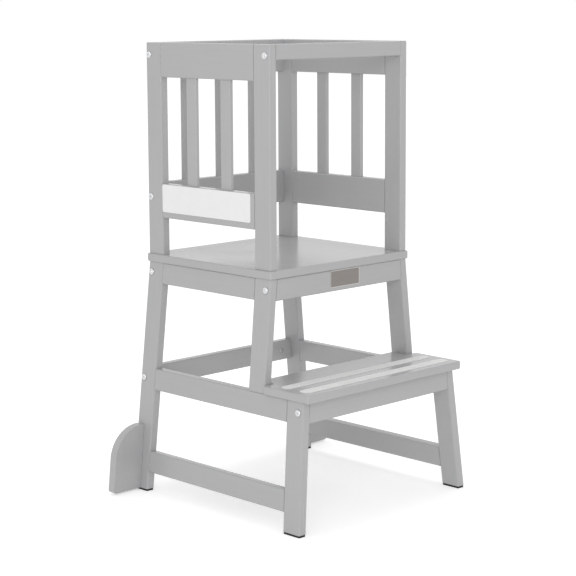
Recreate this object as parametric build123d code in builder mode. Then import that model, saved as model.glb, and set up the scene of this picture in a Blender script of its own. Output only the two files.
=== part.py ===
from build123d import *
import os
from math import cos, radians, sin, tan

os.makedirs("parts", exist_ok=True)

# A child's kitchen stool: a guarded platform on splayed legs, with a step in front.
# X runs across the stool, the step is at -Y, and the floor is z = 0.
# The origin is on the floor, under the middle of the whole stool. Sizes are in millimetres.

# Boards
board_t = 18.0  # thickness of every frame board
post_w = 43.0  # width of the posts and legs
rail_h = 42.0  # height of the aprons and lower rails
top_board_t = 16.0  # thickness of the platform and the step board
edge_c = 1.5  # bevel along the edges of the boards
saw_cut = 5.0  # spare length of a leaning board before it is sawn level

# Guard
stool_h = 900.0  # floor to the top of the guard
platform_z = 478.0  # floor to the standing surface
guard_w = 380.0  # across the outside of the posts
guard_d = 352.0  # front to back over the posts
guard_rail_h = 68.0  # height of the tall guard rails
front_rail_h = 29.0  # height of the low rail over the entry
lower_gap = 75.0  # platform to the underside of the lower guard rails
slat_w = 28.0
slat_t = 9.0
side_slats = 2
rear_slats = 3
tenon_l = 10.0  # length of slat inside each rail
tenon_fit = 0.2  # play all round a tenon

# Platform and lower frame
platform_lip = 3.5  # platform past the outside of the posts
board_corner_r = 4.0  # corners of the platform and the step board
splay = 5.75  # sideways lean of the two lower frames, in degrees
rear_lean = 0.87  # backward lean of the rear legs, in degrees
front_lean = 0.62  # forward lean of the front legs, in degrees
step_lean = 2.85  # forward lean of the step legs, in degrees
low_rail_z = 40.0  # floor to the underside of the bottom side rails
pad_t = 4.0  # thickness of the foot pads
pad_inset = 0.8  # pad edge inside the leg edge
pad_c = 1.0  # bevel of the pads' corners

# Step
step_z = 264.5  # floor to the top of the step board
step_leg_set = 106.9  # front of the step leg, ahead of the guard's front, under the step board
step_nose = 17.1  # step board past the front of the step legs
step_side_lip = 5.5  # step board past the outside of the step legs
notch_gap = 3.0  # clearance between the step board and the front legs
tongue_back = 5.6  # rear edge of the step board, short of the front legs' rear edge
grip_l = 406.0
grip_w = 25.0
grip_t = 0.8
grip_r = 12.0  # rounding of the strips' corners
grip_pitch = 48.7  # middle to middle of the two grip strips
grip_front = 29.2  # step board's front edge to the middle of the front strip

# Stabiliser fins
fin_w = 68.0  # reach past the outer face of the leg
fin_h = 134.0  # height along the leg
fin_set = 2.5  # rear face of the fin, behind the guard's rear face
fin_corner_r = 6.0

# Bolts and barrel nuts
bolt_d = 6.0
bolt_fit = 0.3  # play all round a bolt
bolt_l = 50.0  # length under the head
bolt_head_d = 13.0
bolt_head_h = 2.8
bolt_seat_fit = 0.5  # play all round a head in its level seat
bolt_seat_h = 0.2  # depth of the seat at its shallow side
socket_w = 4.0  # hexagon socket, across flats
socket_depth = 1.8
nut_d = 10.0
nut_l = 14.0
nut_fit = 0.1
thread_fit = 0.1
nut_end = 3.0  # bolt past the middle of its barrel nut
rear_bolt_set = 9.0  # bolt axis in from the rear face
front_bolt_set = 12.0  # bolt axis in from the front face
rear_bolt_drop = 24.5  # upper rear bolt, below the top of the guard
front_bolt_drop = 21.0  # upper front bolt, below the top of the guard
low_bolt_rise = 40.0  # lower rear bolt, above the underside of its rail

# Heights and widths
leg_top = platform_z - top_board_t
step_under = step_z - top_board_t
guard_low_z = platform_z + lower_gap
half_w = guard_w / 2
half_d = guard_d / 2
side_x = half_w - board_t  # inner face of the guard's side panels
panel_x = half_w - board_t / 2  # middle of a side panel
lean_x = radians(splay)
slant_t = board_t / cos(lean_x)  # thickness of a leaning board, measured level

# Front to back, first from the middle of the guard, then from the middle of the whole stool
rear_reach = half_d + (leg_top - pad_t) * tan(radians(rear_lean))
step_reach = half_d + step_leg_set + step_nose
guard_y = (step_reach - rear_reach) / 2
rear_y = guard_y + half_d
front_y = guard_y - half_d


def rear_leg_y(z):
    """Front edge of the rear legs at height z."""
    return rear_y - post_w + (leg_top - z) * tan(radians(rear_lean))


def front_leg_y(z):
    """Front edge of the front legs at height z."""
    return front_y - (leg_top - z) * tan(radians(front_lean))


def step_leg_y(z):
    """Front edge of the step legs at height z."""
    return front_y - step_leg_set - (step_under - z) * tan(radians(step_lean))


def leg_x(z):
    """Outer face of the lower frames at height z, from the middle."""
    return half_w + (leg_top - z) * tan(lean_x)


def frame_plane(side):
    """Outer face of a lower frame: local x is +Y and local y runs up the slope."""
    return Plane(
        origin=(side * half_w, 0, leg_top), x_dir=(0, 1, 0), z_dir=(cos(lean_x), 0, side * sin(lean_x))
    )


def frame_board(side, corners):
    """A leaning board, from the corners (y, z) of its outer face."""
    with BuildSketch(frame_plane(side)) as face:
        with BuildLine():
            Polyline([(y, (z - leg_top) / cos(lean_x)) for y, z in corners], close=True)
        make_face()
    extrude(face.sketch, amount=-side * board_t)


def frame_leg(side, front_edge, low_z, high_z):
    """A leg of a lower frame, sawn level at both ends."""
    low, high = low_z - saw_cut, high_z + saw_cut
    corners = [(front_edge(low), low), (front_edge(low) + post_w, low)]
    corners += [(front_edge(high) + post_w, high), (front_edge(high), high)]
    frame_board(side, corners)
    split(bisect_by=Plane.XY.offset(high_z), keep=Keep.BOTTOM)
    split(bisect_by=Plane.XY.offset(low_z), keep=Keep.TOP)
    chamfer(edges().sort_by(SortBy.LENGTH)[-4:], edge_c)


def frame_rail(side, front_edge, low_z, high_z, level):
    """A rail from the leg in front to the rear leg, sawn level on top when level is set."""
    high = high_z + saw_cut if level else high_z
    corners = [(front_edge(low_z) + post_w, low_z), (rear_leg_y(low_z), low_z)]
    corners += [(rear_leg_y(high), high), (front_edge(high) + post_w, high)]
    frame_board(side, corners)
    if level:
        split(bisect_by=Plane.XY.offset(high_z), keep=Keep.BOTTOM)
    chamfer(edges().filter_by(Axis.Y), edge_c)


def cross_board(y, low_z):
    """A rail across the stool, with its front at y, sawn to the lean of the lower frames."""
    with Locations((0, y, low_z)):
        Box(2 * leg_x(low_z), board_t, rail_h, align=(Align.CENTER, Align.MIN, Align.MIN))
    split(bisect_by=frame_plane(-1).offset(board_t), keep=Keep.TOP)
    split(bisect_by=frame_plane(1).offset(-board_t), keep=Keep.BOTTOM)
    chamfer(edges().filter_by(Axis.X), edge_c)


def rods(planes, diameter, length, mode=Mode.ADD):
    """Cylinders that start on each plane and run against its normal."""
    with Locations(*planes):
        Cylinder(diameter / 2, length, align=(Align.CENTER, Align.CENTER, Align.MAX), mode=mode)


def drill(planes, diameter, depth):
    rods(planes, diameter, depth, Mode.SUBTRACT)


def save(part, label):
    part.label = label
    export_step(part, f"parts/{label}.step")


sides = {"left": -1, "right": 1}

# Bolts: the plane under each head faces out of the stool
cross_z = step_under - rail_h / 2
apron_z = leg_top - rail_h / 2
cross_y = rear_leg_y(step_under) + post_w - board_t  # front face of the rear cross rail
step_apron_y = step_leg_y(step_under)
seat_d = bolt_head_d + 2 * bolt_seat_fit
guard_bolts = [
    (rear_y - rear_bolt_set, stool_h - rear_bolt_drop),
    (rear_y - rear_bolt_set, guard_low_z + low_bolt_rise),
    (front_y + front_bolt_set, stool_h - front_bolt_drop),
]
leg_bolts = [
    (rear_y - rear_bolt_set, apron_z),
    (cross_y + board_t - rear_bolt_set, cross_z),
    (front_y + front_bolt_set, apron_z),
    (step_apron_y + front_bolt_set, cross_z),
]


def bolt_plane(side, y, z):
    x = half_w if z > platform_z else leg_x(z + seat_d / 2) - bolt_seat_h
    return Plane(origin=(side * x, y, z), x_dir=(0, 1, 0), z_dir=(side, 0, 0))


bolt_planes = [bolt_plane(side, y, z) for side in sides.values() for y, z in guard_bolts + leg_bolts]


def bolt_holes(spots):
    """Level holes for bolts, with a flat seat for each head on a leaning leg."""
    for side in sides.values():
        planes = [bolt_plane(side, y, z) for y, z in spots]
        drill(planes, bolt_d + 2 * bolt_fit, bolt_l + nut_end)
        drill([plane.offset(bolt_head_h) for plane in planes], seat_d, bolt_head_h)


# Barrel nuts: the plane over each one lies on the front face of the rear cross rail
nut_middles = [
    bolt_plane(side, *leg_bolts[1]).offset(nut_end - bolt_l).origin for side in sides.values()
]
nut_planes = [
    Plane(origin=(middle.X, cross_y, middle.Z), x_dir=(1, 0, 0), z_dir=(0, -1, 0))
    for middle in nut_middles
]

# Guard posts
for side_name, side in sides.items():
    for end_name, post_y in (("rear", rear_y - post_w / 2), ("front", front_y + post_w / 2)):
        with BuildPart() as post:
            with Locations((side * panel_x, post_y, platform_z)):
                Box(board_t, post_w, stool_h - platform_z,
                    align=(Align.CENTER, Align.CENTER, Align.MIN))
            foot = edges().group_by(Axis.Z)[0]
            chamfer(edges() - foot, edge_c)
            bolt_holes(guard_bolts)
        save(post.part, f"guard_post_{end_name}_{side_name}")

# Guard side rails and slats
slat_low_z = guard_low_z + guard_rail_h
slat_high_z = stool_h - guard_rail_h
slat_foot_z = slat_low_z - tenon_l
slat_l = slat_high_z - slat_low_z + 2 * tenon_l
side_rail_l = guard_d - 2 * post_w
side_slat_ys = [
    guard_y + (i - (side_slats - 1) / 2) * (side_rail_l + slat_w) / (side_slats + 1)
    for i in range(side_slats)
]


def mortises(spots, width, depth):
    """Pockets for the slats' ends, centred on the edges of the rails."""
    with Locations([(x, y, z) for x, y in spots for z in (slat_low_z, slat_high_z)]):
        Box(width + 2 * tenon_fit, depth + 2 * tenon_fit, 2 * (tenon_l + tenon_fit),
            mode=Mode.SUBTRACT)


for side_name, side in sides.items():
    slat_spots = [(side * panel_x, y) for y in side_slat_ys]
    for level_name, low_z in (("top", slat_high_z), ("lower", guard_low_z)):
        with BuildPart() as side_rail:
            with Locations((side * panel_x, guard_y, low_z)):
                Box(board_t, side_rail_l, guard_rail_h, align=(Align.CENTER, Align.CENTER, Align.MIN))
            chamfer(edges().filter_by(Axis.Y), edge_c)
            mortises(slat_spots, slat_t, slat_w)
        save(side_rail.part, f"side_{level_name}_rail_{side_name}")
    for number, (slat_x, slat_y) in enumerate(slat_spots, start=1):
        with BuildPart() as side_slat:
            with Locations((slat_x, slat_y, slat_foot_z)):
                Box(slat_t, slat_w, slat_l, align=(Align.CENTER, Align.CENTER, Align.MIN))
            chamfer(edges().filter_by(Axis.Z), edge_c)
        save(side_slat.part, f"side_slat_{side_name}_{number}")

# Guard rear rails and slats
rear_slat_spots = [
    ((i - (rear_slats - 1) / 2) * (2 * side_x + slat_w) / (rear_slats + 1), rear_y - board_t / 2)
    for i in range(rear_slats)
]
for level_name, low_z, spot in (
    ("top", slat_high_z, guard_bolts[0]),
    ("lower", guard_low_z, guard_bolts[1]),
):
    with BuildPart() as rear_rail:
        with Locations((0, rear_y, low_z)):
            Box(2 * side_x, board_t, guard_rail_h, align=(Align.CENTER, Align.MAX, Align.MIN))
        chamfer(edges().filter_by(Axis.X), edge_c)
        mortises(rear_slat_spots, slat_w, slat_t)
        bolt_holes([spot])
    save(rear_rail.part, f"rear_{level_name}_rail")
for number, (slat_x, slat_y) in enumerate(rear_slat_spots, start=1):
    with BuildPart() as rear_slat:
        with Locations((slat_x, slat_y, slat_foot_z)):
            Box(slat_w, slat_t, slat_l, align=(Align.CENTER, Align.CENTER, Align.MIN))
        chamfer(edges().filter_by(Axis.Z), edge_c)
    save(rear_slat.part, f"rear_slat_{number}")

# Low rail over the entry
with BuildPart() as front_top_rail:
    with Locations((0, front_y, stool_h)):
        Box(2 * side_x, board_t, front_rail_h, align=(Align.CENTER, Align.MIN, Align.MAX))
    chamfer(edges().filter_by(Axis.X), edge_c)
    bolt_holes([guard_bolts[2]])
save(front_top_rail.part, "front_top_rail")

# Platform
with BuildPart() as platform:
    with Locations((0, guard_y, leg_top)):
        Box(guard_w + 2 * platform_lip, guard_d + 2 * platform_lip, top_board_t,
            align=(Align.CENTER, Align.CENTER, Align.MIN))
    fillet(edges().filter_by(Axis.Z), board_corner_r)
    chamfer(faces().sort_by(Axis.Z)[-1].edges() + faces().sort_by(Axis.Z)[0].edges(), edge_c)
save(platform.part, "platform")

# Rails across the stool
for label, board_y, board_z, spot in (
    ("front_apron", front_y, leg_top - rail_h, leg_bolts[2]),
    ("rear_apron", rear_y - board_t, leg_top - rail_h, leg_bolts[0]),
    ("rear_cross_rail", cross_y, step_under - rail_h, leg_bolts[1]),
    ("step_apron", step_apron_y, step_under - rail_h, leg_bolts[3]),
):
    with BuildPart() as cross_rail:
        cross_board(board_y, board_z)
        bolt_holes([spot])
        if label == "rear_cross_rail":
            drill(nut_planes, nut_d + 2 * nut_fit, (board_t + nut_l) / 2)
    save(cross_rail.part, label)

# Legs and rails of the two lower frames
for side_name, side in sides.items():
    for leg_name, front_edge, low_z, high_z in (
        ("rear", rear_leg_y, pad_t, leg_top),
        ("front", front_leg_y, step_under, leg_top),
        ("step", step_leg_y, pad_t, step_under),
    ):
        with BuildPart() as leg:
            frame_leg(side, front_edge, low_z, high_z)
            bolt_holes(leg_bolts)
        save(leg.part, f"{leg_name}_leg_{side_name}")
    for rail_name, front_edge, low_z, level in (
        ("side_apron", front_leg_y, leg_top - rail_h, True),
        ("middle_side_rail", step_leg_y, step_under - rail_h, True),
        ("bottom_side_rail", step_leg_y, low_rail_z, False),
    ):
        with BuildPart() as frame_side:
            frame_rail(side, front_edge, low_z, low_z + rail_h, level)
        save(frame_side.part, f"{rail_name}_{side_name}")

    # Stabiliser fin on the rear leg
    fin_plane = Plane(
        origin=(side * leg_x(0), rear_y + fin_set - board_t / 2, 0),
        x_dir=(side * cos(lean_x), 0, sin(lean_x)),
        z_dir=(0, -side, 0),
    )
    with BuildPart() as fin:
        with BuildSketch(fin_plane):
            with BuildLine():
                Polyline([(0, fin_h), (0, -saw_cut), (fin_w, -saw_cut), (fin_w, fin_h - fin_w)])
                RadiusArc((fin_w, fin_h - fin_w), (0, fin_h), -fin_w)
            make_face()
        extrude(amount=board_t / 2, both=True)
        split(bisect_by=Plane.XY.offset(pad_t), keep=Keep.TOP)
        low_edges = edges().filter_by(Axis.Y).group_by(Axis.Z)[0]
        fillet(low_edges.sort_by(lambda edge: side * edge.center().X)[-1], fin_corner_r)
    save(fin.part, f"stabiliser_fin_{side_name}")

    # Foot pads
    for leg_name, pad_y in (("rear", rear_leg_y(pad_t)), ("step", step_leg_y(pad_t))):
        with BuildPart() as pad:
            with BuildSketch():
                with Locations((side * (leg_x(pad_t) - slant_t / 2), pad_y + post_w / 2)):
                    Rectangle(slant_t - 2 * pad_inset, post_w - 2 * pad_inset)
            extrude(amount=pad_t)
            chamfer(edges().filter_by(Axis.Z), pad_c)
        save(pad.part, f"foot_pad_{leg_name}_{side_name}")

# Step board, notched round the front legs
step_half_w = leg_x(step_under) + step_side_lip
step_front_y = step_apron_y - step_nose
ear_y = front_leg_y(step_z) - notch_gap
tongue_half_w = leg_x(step_z) - slant_t - notch_gap
tongue_y = front_leg_y(step_z) + post_w - tongue_back
with BuildPart() as step_board:
    with BuildSketch(Plane.XY.offset(step_under)):
        with Locations((0, step_front_y)):
            Rectangle(2 * step_half_w, ear_y - step_front_y, align=(Align.CENTER, Align.MIN))
            Rectangle(2 * tongue_half_w, tongue_y - step_front_y, align=(Align.CENTER, Align.MIN))
        fillet(vertices(), board_corner_r)
    extrude(amount=top_board_t)
    chamfer(faces().sort_by(Axis.Z)[-1].edges() + faces().sort_by(Axis.Z)[0].edges(), edge_c)
save(step_board.part, "step_board")

# Grip strips
for strip_name, strip_y in (
    ("front", step_front_y + grip_front),
    ("rear", step_front_y + grip_front + grip_pitch),
):
    with BuildPart() as grip_strip:
        with BuildSketch(Plane.XY.offset(step_z)):
            with Locations((0, strip_y)):
                RectangleRounded(grip_l, grip_w, grip_r)
        extrude(amount=grip_t)
    save(grip_strip.part, f"grip_strip_{strip_name}")

# Bolts with button heads and hexagon sockets
with BuildPart() as bolt:
    Cylinder(bolt_head_d / 2, bolt_head_h, align=(Align.CENTER, Align.CENTER, Align.MIN))
    with BuildSketch(Plane.XY.offset(bolt_head_h)):
        RegularPolygon(socket_w / 2, 6, major_radius=False)
    extrude(amount=-socket_depth, mode=Mode.SUBTRACT)
    rods([Plane.XY], bolt_d, bolt_l)
with BuildPart() as frame_bolts:
    with Locations(*bolt_planes):
        add(bolt.part)
save(frame_bolts.part, "frame_bolts")

# Barrel nuts
with BuildPart() as barrel_nuts:
    rods([plane.offset((nut_l - board_t) / 2) for plane in nut_planes], nut_d, nut_l)
    drill(bolt_planes, bolt_d + 2 * thread_fit, bolt_l + nut_end)
save(barrel_nuts.part, "barrel_nuts")
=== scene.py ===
import math

import bmesh
import bpy
from mathutils import Matrix, Vector


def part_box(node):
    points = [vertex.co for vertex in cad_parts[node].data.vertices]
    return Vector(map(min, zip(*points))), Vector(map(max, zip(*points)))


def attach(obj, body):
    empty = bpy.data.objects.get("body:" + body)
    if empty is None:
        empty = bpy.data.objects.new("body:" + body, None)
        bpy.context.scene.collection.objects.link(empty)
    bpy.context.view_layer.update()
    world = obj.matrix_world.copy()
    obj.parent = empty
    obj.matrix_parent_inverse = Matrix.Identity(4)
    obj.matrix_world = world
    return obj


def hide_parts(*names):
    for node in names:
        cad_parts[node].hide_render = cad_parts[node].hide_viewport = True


# Kids step stool: a painted wooden learning tower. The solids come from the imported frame; this file
# gives them their paint, rubber and grip tape, models the fasteners and the two bare plates, and
# sets the floor, the light and the camera. Everything is in metres, front towards -Y, floor at
# z = 0.

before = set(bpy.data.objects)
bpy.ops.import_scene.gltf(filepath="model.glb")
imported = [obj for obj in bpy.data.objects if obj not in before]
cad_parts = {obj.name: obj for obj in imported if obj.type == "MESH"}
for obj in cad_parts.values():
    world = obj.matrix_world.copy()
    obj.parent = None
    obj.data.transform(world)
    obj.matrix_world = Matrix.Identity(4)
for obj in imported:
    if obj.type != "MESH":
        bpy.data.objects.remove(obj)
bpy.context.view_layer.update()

mm = 0.001


# ---------------------------------------------------------------- materials

def linear(code):
    """A colour written as sRGB hex, such as "b3b3b4", as the linear RGBA that a shader takes."""
    parts = [int(code[i:i + 2], 16) / 255 for i in (0, 2, 4)]
    flat = [c / 12.92 if c <= 0.04045 else ((c + 0.055) / 1.055) ** 2.4 for c in parts]
    return (*flat, 1.0)


def add(tree, kind, settings=(), **sockets):
    """Adds one node: settings are its own properties, sockets its inputs, each a value or a link.

    An input is named, with _ for a space, or numbered, as i0 is the first.
    """
    new = tree.nodes.new(kind)
    for name, value in dict(settings).items():
        setattr(new, name, value)
    for name, value in sockets.items():
        numbered = name[0] == "i" and name[1:].isdigit()
        socket = new.inputs[int(name[1:]) if numbered else name.replace("_", " ")]
        if isinstance(value, bpy.types.NodeSocket):
            tree.links.new(value, socket)
        else:
            socket.default_value = value
    return new


def start(name):
    """An empty material with its surface output, and its node tree."""
    material = bpy.data.materials.new(name)
    material.use_nodes = True
    material.node_tree.nodes.clear()
    return material, material.node_tree


def sprayed_wood(name, grain):
    """Solid wood under a sprayed semi-gloss polyurethane lacquer, with the grain along x, y or z.

    The eye gets an even, neutral grey with a sheen that mirrors softly at a low angle, long shallow
    ripples where the grain shows through the coats, a faint orange peel from the spray gun, and
    lighter arrises, partly where the coat is thin and partly a painted highlight of the sheen on
    the rounded edge.
    """
    material, tree = start(name)
    # grain lines are about 1 mm apart; drawn 5 mm apart and 90 mm long, so that they show
    stretch = [1 / (90 * mm) if axis == grain else 1 / (5 * mm) for axis in "xyz"]
    place = add(tree, "ShaderNodeTexCoord").outputs["Object"]
    fibre_place = add(tree, "ShaderNodeMapping", Vector=place, Scale=stretch).outputs[0]
    fibre = add(tree, "ShaderNodeTexNoise", Vector=fibre_place, Scale=1.0, Detail=4.0,
                Roughness=0.55, Distortion=0.25)
    # orange peel is 2 to 3 mm across, and the passes of the gun about 120 mm
    peel = add(tree, "ShaderNodeTexNoise", Vector=place, Scale=1 / (2.5 * mm), Detail=1.0)
    cloud = add(tree, "ShaderNodeTexNoise", Vector=place, Scale=1 / (120 * mm), Detail=2.0)

    tone = add(tree, "ShaderNodeMix", {"data_type": "RGBA"}, Factor=cloud.outputs["Fac"],
               i6=linear("b2b2b3"), i7=linear("b5b5b6"))
    streak = add(tree, "ShaderNodeMapRange", Value=fibre.outputs["Fac"],
                 From_Min=0.35, From_Max=0.65, To_Min=0.988, To_Max=1.009)
    grained = add(tree, "ShaderNodeVectorMath", {"operation": "SCALE"}, i0=tone.outputs[2],
                  Scale=streak.outputs[0])

    # the arris is rounded to about 2 mm; where the rounding turns the face, the coat is thin, and
    # the paler colour mixed in there is partly a painted highlight of the sheen on that rounding
    round_edge = add(tree, "ShaderNodeBevel", {"samples": 6}, Radius=2.2 * mm)
    true_face = add(tree, "ShaderNodeNewGeometry").outputs["True Normal"]
    facing = add(tree, "ShaderNodeVectorMath", {"operation": "DOT_PRODUCT"},
                 i0=round_edge.outputs[0], i1=true_face)
    arris_wear_and_highlight = add(tree, "ShaderNodeMapRange", Value=facing.outputs["Value"],
                From_Min=1.0, From_Max=0.86, To_Min=0.0, To_Max=0.12)
    # the paler grey c2c2c2 along the arris is a painted edge highlight, together with the thin coat
    colour = add(tree, "ShaderNodeMix", {"data_type": "RGBA"}, Factor=arris_wear_and_highlight.outputs[0],
                 i6=grained.outputs[0], i7=linear("c2c2c2"))

    ripple = add(tree, "ShaderNodeBump", Strength=0.22, Distance=0.10 * mm,
                 Height=fibre.outputs["Fac"], Normal=round_edge.outputs[0])
    skin = add(tree, "ShaderNodeBump", Strength=0.20, Distance=0.05 * mm,
               Height=peel.outputs["Fac"], Normal=ripple.outputs[0])
    sheen = add(tree, "ShaderNodeMapRange", Value=cloud.outputs["Fac"], From_Min=0.3, From_Max=0.7,
                To_Min=0.20, To_Max=0.26)
    paint = add(tree, "ShaderNodeBsdfPrincipled", Base_Color=colour.outputs[2],
                Roughness=sheen.outputs[0], IOR=1.5, Normal=skin.outputs[0])
    add(tree, "ShaderNodeOutputMaterial", Surface=paint.outputs[0])
    return material


def grit_tape():
    """Polyester anti-slip tape coated with clear mineral grit.

    The eye gets a pale, matt, sandy strip: each grain catches the light on one side and hides it on
    the other, so the strip glitters faintly and is never quite even.
    """
    material, tree = start("mineral_grit_tape")
    place = add(tree, "ShaderNodeTexCoord").outputs["Object"]
    # the grit is about 0.3 mm; drawn 1.4 mm, so that it shows
    grain = add(tree, "ShaderNodeTexVoronoi", Vector=place, Scale=1 / (1.4 * mm))
    drift = add(tree, "ShaderNodeTexNoise", Vector=place, Scale=1 / (18 * mm), Detail=3.0)
    speck = add(tree, "ShaderNodeValToRGB", Fac=grain.outputs["Distance"])
    speck.color_ramp.elements[0].color = linear("f6f6f5")
    speck.color_ramp.elements[1].color = linear("e4e4e3")
    speck.color_ramp.elements[1].position = 0.75
    worn = add(tree, "ShaderNodeMapRange", Value=drift.outputs["Fac"], From_Min=0.3, From_Max=0.7,
               To_Min=0.97, To_Max=1.02)
    colour = add(tree, "ShaderNodeVectorMath", {"operation": "SCALE"}, i0=speck.outputs[0],
                 Scale=worn.outputs[0])
    rough = add(tree, "ShaderNodeBump", {"invert": True}, Strength=0.7, Distance=0.25 * mm,
                Height=grain.outputs["Distance"])
    coat = add(tree, "ShaderNodeBsdfPrincipled", Base_Color=colour.outputs[0], Roughness=0.75,
               IOR=1.5, Normal=rough.outputs[0])
    add(tree, "ShaderNodeOutputMaterial", Surface=coat.outputs[0])
    return material


def foot_rubber():
    """Moulded black EPDM rubber, a little dusty where it meets the floor.

    The eye gets a near-black, dull block with a fine pebbled skin and a grey bloom low down.
    """
    material, tree = start("moulded_epdm_rubber")
    place = add(tree, "ShaderNodeTexCoord").outputs["Object"]
    pebble = add(tree, "ShaderNodeTexNoise", Vector=place, Scale=1 / (1.2 * mm), Detail=2.0)
    smear = add(tree, "ShaderNodeTexNoise", Vector=place, Scale=1 / (14 * mm), Detail=3.0)
    height = add(tree, "ShaderNodeSeparateXYZ", Vector=place)
    low = add(tree, "ShaderNodeMapRange", Value=height.outputs["Z"], From_Min=5 * mm, From_Max=0.0,
              To_Min=0.0, To_Max=0.2)
    dust = add(tree, "ShaderNodeMath", {"operation": "MULTIPLY"}, i0=low.outputs[0],
               i1=smear.outputs["Fac"])
    colour = add(tree, "ShaderNodeMix", {"data_type": "RGBA"}, Factor=dust.outputs[0],
                 i6=linear("0b0b0c"), i7=linear("4a4a48"))
    skin = add(tree, "ShaderNodeBump", Strength=0.4, Distance=0.15 * mm,
               Height=pebble.outputs["Fac"])
    block = add(tree, "ShaderNodeBsdfPrincipled", Base_Color=colour.outputs[2], Roughness=0.85,
                IOR=1.5, Normal=skin.outputs[0])
    add(tree, "ShaderNodeOutputMaterial", Surface=block.outputs[0])
    return material


def plated_steel(name, shade, lay):
    """Turned steel under bright zinc plate, with turning marks as wide as the lay, in millimetres.

    The eye gets a pale, silvery metal with faint turning rings and a soft cloudiness in the plate.
    """
    material, tree = start(name)
    place = add(tree, "ShaderNodeTexCoord").outputs["Object"]
    bloom = add(tree, "ShaderNodeTexNoise", Vector=place, Scale=1 / (4 * mm), Detail=3.0)
    ring = add(tree, "ShaderNodeTexNoise", Vector=place, Scale=1 / (lay * mm), Detail=2.0)
    tint = add(tree, "ShaderNodeMix", {"data_type": "RGBA"}, Factor=bloom.outputs["Fac"],
               i6=linear(shade), i7=linear("f0f1f2"))
    gloss = add(tree, "ShaderNodeMapRange", Value=bloom.outputs["Fac"], From_Min=0.3, From_Max=0.7,
                To_Min=0.26, To_Max=0.36)
    fine = add(tree, "ShaderNodeBump", Strength=0.12, Distance=0.05 * mm,
               Height=ring.outputs["Fac"])
    metal = add(tree, "ShaderNodeBsdfPrincipled", Base_Color=tint.outputs[2], Metallic=1.0,
                Roughness=gloss.outputs[0], Normal=fine.outputs[0])
    add(tree, "ShaderNodeOutputMaterial", Surface=metal.outputs[0])
    return material


def plate_film():
    """Calendered white polyester film, left plain.

    The eye gets a clean white with a satin face and the faintest waviness where it is stuck down.
    """
    material, tree = start("calendered_polyester_film")
    place = add(tree, "ShaderNodeTexCoord").outputs["Object"]
    wave = add(tree, "ShaderNodeTexNoise", Vector=place, Scale=1 / (30 * mm), Detail=2.0)
    tooth = add(tree, "ShaderNodeTexNoise", Vector=place, Scale=1 / (1.5 * mm), Detail=1.0)
    tone = add(tree, "ShaderNodeMix", {"data_type": "RGBA"}, Factor=wave.outputs["Fac"],
               i6=linear("ececec"), i7=linear("f2f2f1"))
    stuck = add(tree, "ShaderNodeBump", Strength=0.25, Distance=0.2 * mm,
                Height=wave.outputs["Fac"])
    face = add(tree, "ShaderNodeBump", Strength=0.1, Distance=0.03 * mm,
               Height=tooth.outputs["Fac"], Normal=stuck.outputs[0])
    sheet = add(tree, "ShaderNodeBsdfPrincipled", Base_Color=tone.outputs[2], Roughness=0.38,
                IOR=1.57, Normal=face.outputs[0])
    add(tree, "ShaderNodeOutputMaterial", Surface=sheet.outputs[0])
    return material


def plate_metal(name, shade, bright):
    """Brushed and anodised aluminium sheet, brushed along its length.

    The eye gets a soft metal with fine lines along X that stretch its reflections up and down.
    """
    material, tree = start(name)
    place = add(tree, "ShaderNodeTexCoord").outputs["Object"]
    # brush lines are about 0.1 mm; drawn 0.8 mm, so that they show
    stretch = (1 / (25 * mm), 1 / (0.8 * mm), 1 / (0.8 * mm))
    lines = add(tree, "ShaderNodeMapping", Vector=place, Scale=stretch)
    brush = add(tree, "ShaderNodeTexNoise", Vector=lines.outputs[0], Scale=1.0, Detail=3.0)
    tint = add(tree, "ShaderNodeMix", {"data_type": "RGBA"}, Factor=brush.outputs["Fac"],
               i6=linear(shade), i7=linear(bright))
    score = add(tree, "ShaderNodeBump", Strength=0.25, Distance=0.05 * mm,
                Height=brush.outputs["Fac"])
    metal = add(tree, "ShaderNodeBsdfPrincipled", Base_Color=tint.outputs[2], Metallic=0.9,
                Roughness=0.42, Normal=score.outputs[0])
    add(tree, "ShaderNodeOutputMaterial", Surface=metal.outputs[0])
    return material


wood_x = sprayed_wood("sprayed_lacquered_wood_x", "x")
wood_y = sprayed_wood("sprayed_lacquered_wood_y", "y")
wood_z = sprayed_wood("sprayed_lacquered_wood_z", "z")
tape = grit_tape()
rubber = foot_rubber()
bolt_steel = plated_steel("zinc_plated_turned_steel", "e0e1e3", 0.6)
nut_steel = plated_steel("zinc_plated_barrel_steel", "d0d1d3", 0.8)
film = plate_film()
plate_face = plate_metal("brushed_anodised_aluminium_face", "8f8a86", "9b9692")
plate_rim = plate_metal("brushed_anodised_aluminium_rim", "c4c2c0", "d4d2d0")

# the other boards, which are the posts, slats and legs, have their grain along z
boards_along_x = ("rear_top_rail", "rear_lower_rail", "front_top_rail", "front_apron", "rear_apron",
                  "step_apron", "rear_cross_rail", "platform", "step_board")
boards_along_y = ("side_top_rail", "side_lower_rail", "side_apron", "middle_side_rail",
                  "bottom_side_rail", "stabiliser_fin")
for name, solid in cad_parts.items():
    if name.startswith("grip_strip"):
        finish = tape
    elif name.startswith("foot_pad"):
        finish = rubber
    elif name in boards_along_x:
        finish = wood_x
    elif name.startswith(boards_along_y):
        finish = wood_y
    else:
        finish = wood_z
    solid.data.materials.clear()
    solid.data.materials.append(finish)


# ---------------------------------------------------------------- modelling helpers

def nothing_selected():
    """Leaves edit mode and deselects every object."""
    if bpy.context.object and bpy.context.object.mode != "OBJECT":
        bpy.ops.object.mode_set(mode="OBJECT")
    bpy.ops.object.select_all(action="DESELECT")


def only(piece):
    """Selects this piece alone and makes it active."""
    nothing_selected()
    piece.select_set(True)
    bpy.context.view_layer.objects.active = piece


def edit(piece, kind="FACE"):
    """Opens the piece in edit mode with nothing selected."""
    only(piece)
    bpy.ops.object.mode_set(mode="EDIT")
    bpy.ops.mesh.select_mode(type=kind)
    bpy.ops.mesh.select_all(action="DESELECT")


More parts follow.
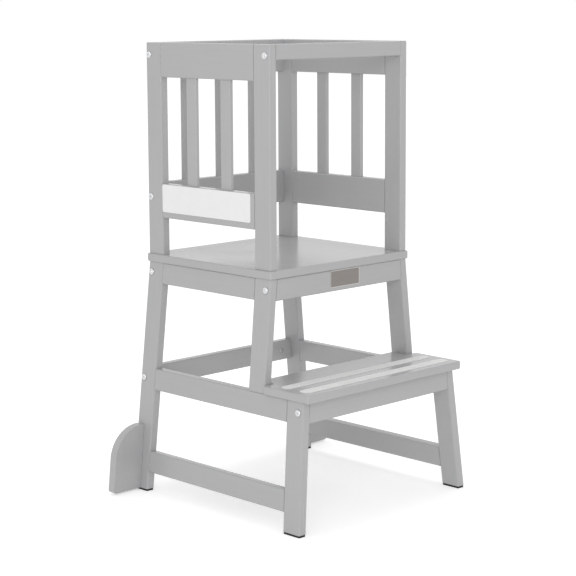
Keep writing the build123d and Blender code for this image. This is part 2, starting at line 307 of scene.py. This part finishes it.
def pick(piece, test):
    """In edit mode, selects the faces or edges that the test likes, and nothing else."""
    mesh = bmesh.from_edit_mesh(piece.data)
    faces = bpy.context.tool_settings.mesh_select_mode[2]
    for part in list(mesh.faces) + list(mesh.edges) + list(mesh.verts):
        part.select = False
    for part in (mesh.faces if faces else mesh.edges):
        if test(part):
            part.select_set(True)
    mesh.select_flush_mode()
    bmesh.update_edit_mesh(piece.data)


def middle(edge):
    """The point halfway along an edge."""
    return (edge.verts[0].co + edge.verts[1].co) / 2


def done(piece, name, *finishes):
    """Finishes a piece: puts its place into its mesh, names it, dresses it and rides it on root."""
    only(piece)
    bpy.ops.object.transform_apply(location=True, rotation=True, scale=True)
    bpy.ops.object.shade_smooth_by_angle(angle=math.radians(35))
    piece.name = piece.data.name = name
    if finishes:
        piece.data.materials.clear()
        for finish in finishes:
            piece.data.materials.append(finish)
    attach(piece, "root")


def cut_with(piece, cutter):
    """Cuts the cutter's shape out of the piece and removes the cutter."""
    only(piece)
    cut = piece.modifiers.new("cut", "BOOLEAN")
    cut.operation, cut.solver, cut.object = "DIFFERENCE", "EXACT", cutter
    bpy.ops.object.modifier_apply(modifier=cut.name)
    bpy.data.objects.remove(cutter)


def copy_of(piece, turn, place):
    """A copy with its own mesh, turned and then moved in its mesh."""
    twin = piece.copy()
    twin.data = piece.data.copy()
    bpy.context.collection.objects.link(twin)
    twin.data.transform(Matrix.Translation(place) @ turn)
    return twin


# ---------------------------------------------------------------- bolts

# One button-head bolt stands on its head's seat at z = 0, head up, with a hexagon socket.
head_r, head_h = 6.5 * mm, 2.8 * mm
head_round, socket_lip = 1.5 * mm, 0.25 * mm
shank_r, shank_l, tip_l, tip_taper = 3 * mm, 48 * mm, 2 * mm, 0.8 * mm
socket_r, socket_depth = 2.31 * mm, 2.1 * mm  # 4 mm across its flats
nothing_selected()
bpy.ops.mesh.primitive_cylinder_add(vertices=48, radius=head_r, depth=head_h,
                                    location=(0, 0, head_h / 2))
bolt = bpy.context.object
only(bolt)
bpy.ops.object.transform_apply(location=True, rotation=True, scale=True)
edit(bolt, "EDGE")
pick(bolt, lambda e: all(v.co.z > 0.95 * head_h for v in e.verts)
     and middle(e).xy.length > 0.9 * head_r)
bpy.ops.mesh.bevel(offset=head_round, segments=5, profile=0.5)
edit(bolt, "FACE")
pick(bolt, lambda f: f.normal.z < -0.9)
bpy.ops.mesh.inset(thickness=head_r - shank_r)
bpy.ops.mesh.extrude_region_move(TRANSFORM_OT_translate={"value": (0, 0, -shank_l)})
bpy.ops.mesh.inset(thickness=tip_taper)
bpy.ops.transform.translate(value=(0, 0, -tip_l))
nothing_selected()
bpy.ops.mesh.primitive_cylinder_add(vertices=6, radius=socket_r, depth=2 * socket_depth,
                                    location=(0, 0, head_h))
cut_with(bolt, bpy.context.object)
edit(bolt, "EDGE")
pick(bolt, lambda e: all(v.co.z > 0.98 * head_h and v.co.xy.length < 1.08 * socket_r
                         for v in e.verts))
bpy.ops.mesh.bevel(offset=socket_lip, segments=2)
nothing_selected()

# y, z and the x of the head's seat, in millimetres, on the right; the left mirrors it
rail_bolts = [(225.52, 875.5, 190.0), (225.52, 593.0, 190.0), (-105.48, 879.0, 190.0)]
apron_bolts = [(225.52, 441.0, 191.21), (-105.48, 441.0, 191.21)]
leg_bolts = [(228.76, 227.5, 212.71), (-212.38, 227.5, 212.71)]
for number, (y, z, x) in enumerate(rail_bolts + apron_bolts + leg_bolts):
    for side, sign in (("left", -1), ("right", 1)):
        # each socket stopped at its own angle when its bolt was tight
        twist = Matrix.Rotation(math.radians(17 * number + 5 * sign), 4, "Z")
        turn = Matrix.Rotation(sign * math.pi / 2, 4, "Y") @ twist
        head = copy_of(bolt, turn, Vector((sign * x * mm, y * mm, z * mm)))
        done(head, f"bolt_{side}_{number + 1}", bolt_steel)
        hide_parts("frame_bolts")
bpy.data.objects.remove(bolt)


# ---------------------------------------------------------------- barrel nuts

# A cross-dowel nut lies along Y in the rear cross rail, its slotted end towards the front.
nut_r, nut_l, nut_edge = 5 * mm, 13 * mm, 0.5 * mm
slot_w, slot_depth = 1.5 * mm, 1.0 * mm
nut_x, nut_y, nut_z = 165.71 * mm, 220.6 * mm, 227.5 * mm  # the middle of its slotted end
nothing_selected()
bpy.ops.mesh.primitive_cylinder_add(vertices=40, radius=nut_r, depth=nut_l,
                                    location=(0, 0, -nut_l / 2))
nut = bpy.context.object
only(nut)
bpy.ops.object.transform_apply(location=True, rotation=True, scale=True)
edit(nut, "EDGE")
pick(nut, lambda e: abs(e.verts[0].co.z - e.verts[1].co.z) < 0.1 * mm)
bpy.ops.mesh.bevel(offset=nut_edge, segments=2)
nothing_selected()
bpy.ops.mesh.primitive_cube_add(size=1, location=(0, 0, 0),
                                scale=(2.4 * nut_r, slot_w, 2 * slot_depth))
cut_with(nut, bpy.context.object)
for side, sign in (("left", -1), ("right", 1)):
    turn = Matrix.Rotation(math.pi / 2, 4, "X") @ Matrix.Rotation(math.radians(50), 4, "Z")
    one = copy_of(nut, turn, Vector((sign * nut_x, nut_y, nut_z)))
    done(one, f"barrel_nut_{side}", nut_steel)
    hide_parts("barrel_nuts")
bpy.data.objects.remove(nut)


# ---------------------------------------------------------------- bare plates

def plate(name, low, high, corner, rim, finishes):
    """A thin sheet between two points, its corners rounded, with a rim round its outer face."""
    size = [b - a for a, b in zip(low, high)]
    thin = size.index(min(size))
    nothing_selected()
    centre = [(a + b) / 2 for a, b in zip(low, high)]
    bpy.ops.mesh.primitive_cube_add(size=1, location=centre, scale=size)
    sheet = bpy.context.object
    for finish in finishes:
        sheet.data.materials.append(finish)
    only(sheet)
    bpy.ops.object.transform_apply(location=True, rotation=True, scale=True)
    edit(sheet, "EDGE")
    pick(sheet, lambda e: abs(e.verts[0].co[thin] - e.verts[1].co[thin]) > size[thin] / 2)
    bpy.ops.mesh.bevel(offset=corner, segments=6)
    edit(sheet, "FACE")
    pick(sheet, lambda f: f.normal[thin] < -0.9)
    bpy.ops.mesh.inset(thickness=rim)
    sink = Vector((0, 0, 0))
    sink[thin] = size[thin] * 0.3
    bpy.ops.transform.translate(value=sink)
    sheet.active_material_index = len(finishes) - 1  # the last finish goes inside the rim
    bpy.ops.object.material_slot_assign()
    bpy.ops.mesh.inset(thickness=0.4 * mm)  # holds the shading flat inside the rim
    nothing_selected()
    done(sheet, name)


# one plate is stuck on the left lower rail and one on the apron; each reaches from the first to
# the second point
left_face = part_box("side_lower_rail_left")[0].x
plate("side_plate", (left_face - 0.35 * mm, -63.5 * mm, 565 * mm),
      (left_face, 191 * mm, 620 * mm), corner=4 * mm, rim=0.8 * mm, finishes=[film])
front_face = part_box("front_apron")[0].y
plate("front_plate", (-30 * mm, front_face - 0.7 * mm, 427 * mm),
      (52 * mm, front_face, 461 * mm), corner=2.6 * mm, rim=1.6 * mm,
      finishes=[plate_rim, plate_face])


# ---------------------------------------------------------------- floor, light and camera

def pale_floor():
    """Matt white seamless paper. It keeps the object's shadow, and shows white to the camera."""
    material, tree = start("seamless_white_paper")
    place = add(tree, "ShaderNodeTexCoord").outputs["Object"]
    fibre = add(tree, "ShaderNodeTexNoise", Vector=place, Scale=1 / (3 * mm), Detail=2.0)
    tone = add(tree, "ShaderNodeMix", {"data_type": "RGBA"}, Factor=fibre.outputs["Fac"],
               i6=linear("f2f2f2"), i7=linear("f5f5f5"))
    paper = add(tree, "ShaderNodeBsdfDiffuse", Color=tone.outputs[2])
    seen = add(tree, "ShaderNodeLightPath").outputs["Is Camera Ray"]
    reach = add(tree, "ShaderNodeVectorMath", {"operation": "LENGTH"}, i0=place)
    # seen by the camera, the paper is white far off, and a little less near the object's shadow
    away = add(tree, "ShaderNodeMapRange", Value=reach.outputs["Value"], From_Min=0.5,
               From_Max=2.6, To_Min=0.40, To_Max=0.50)
    # for other rays, the glow stands in for the studio's light that paper throws back up
    lift = add(tree, "ShaderNodeMix", Factor=seen, i2=0.17, i3=away.outputs[0])
    glow = add(tree, "ShaderNodeEmission", Color=linear("ffffff"), Strength=lift.outputs[0])
    both = add(tree, "ShaderNodeAddShader", i0=paper.outputs[0], i1=glow.outputs[0])
    add(tree, "ShaderNodeOutputMaterial", Surface=both.outputs[0])
    return material


nothing_selected()
bpy.ops.mesh.primitive_plane_add(size=30, location=(0, 0, 0))
floor = bpy.context.object
floor.name = "studio_floor"
floor.data.materials.append(pale_floor())

world = bpy.data.worlds.new("white_studio")
bpy.context.scene.world = world
world.use_nodes = True
air = world.node_tree
air.nodes.clear()
ray = add(air, "ShaderNodeLightPath")
seen = add(air, "ShaderNodeMath", {"operation": "MAXIMUM"}, i0=ray.outputs["Is Camera Ray"],
           i1=ray.outputs["Is Glossy Ray"])
shown = add(air, "ShaderNodeMath", {"operation": "MAXIMUM"}, i0=seen.outputs[0],
            i1=ray.outputs["Is Transmission Ray"])
# the studio lights the object less than the white walls that the camera and the gloss see
light = add(air, "ShaderNodeBackground", Color=linear("ffffff"), Strength=0.655)
wall = add(air, "ShaderNodeBackground", Color=linear("ffffff"), Strength=1.0)
mixed = add(air, "ShaderNodeMixShader", Fac=shown.outputs[0], i1=light.outputs[0],
            i2=wall.outputs[0])
add(air, "ShaderNodeOutputWorld", Surface=mixed.outputs[0])


def softbox(name, place, target, side, power):
    """A large square lamp that looks at a point."""
    nothing_selected()
    bpy.ops.object.light_add(type="AREA", location=place)
    lamp = bpy.context.object
    lamp.name = name
    lamp.data.size, lamp.data.energy = side, power
    lamp.rotation_euler = (Vector(target) - Vector(place)).to_track_quat("-Z", "Y").to_euler()


softbox("overhead_softbox", (0.3, 0.3, 2.9), (0, 0, 0.3), side=1.4, power=15)
softbox("camera_side_softbox", (-2.9, -2.7, 1.7), (0, 0, 0.5), side=2.2, power=42)

bpy.ops.object.camera_add()
camera = bpy.context.object
# the view that the photograph was taken from: where it looks round the object, down, and its roll
turn, down, roll = math.radians(-44.448), math.radians(7.576), math.radians(-0.294)
turned = (Matrix.Rotation(turn, 4, "Z") @ Matrix.Rotation(math.pi / 2 - down, 4, "X")
          @ Matrix.Rotation(roll, 4, "Z"))
camera.matrix_world = Matrix.Translation((-2.3467, -2.3631, 0.9705)) @ turned
camera.data.sensor_width = 36
camera.data.lens = 105.45
camera.data.shift_y = -0.1007
camera.data.clip_start, camera.data.clip_end = 0.05, 100
bpy.context.scene.camera = camera
bpy.context.scene.view_settings.view_transform = "Standard"
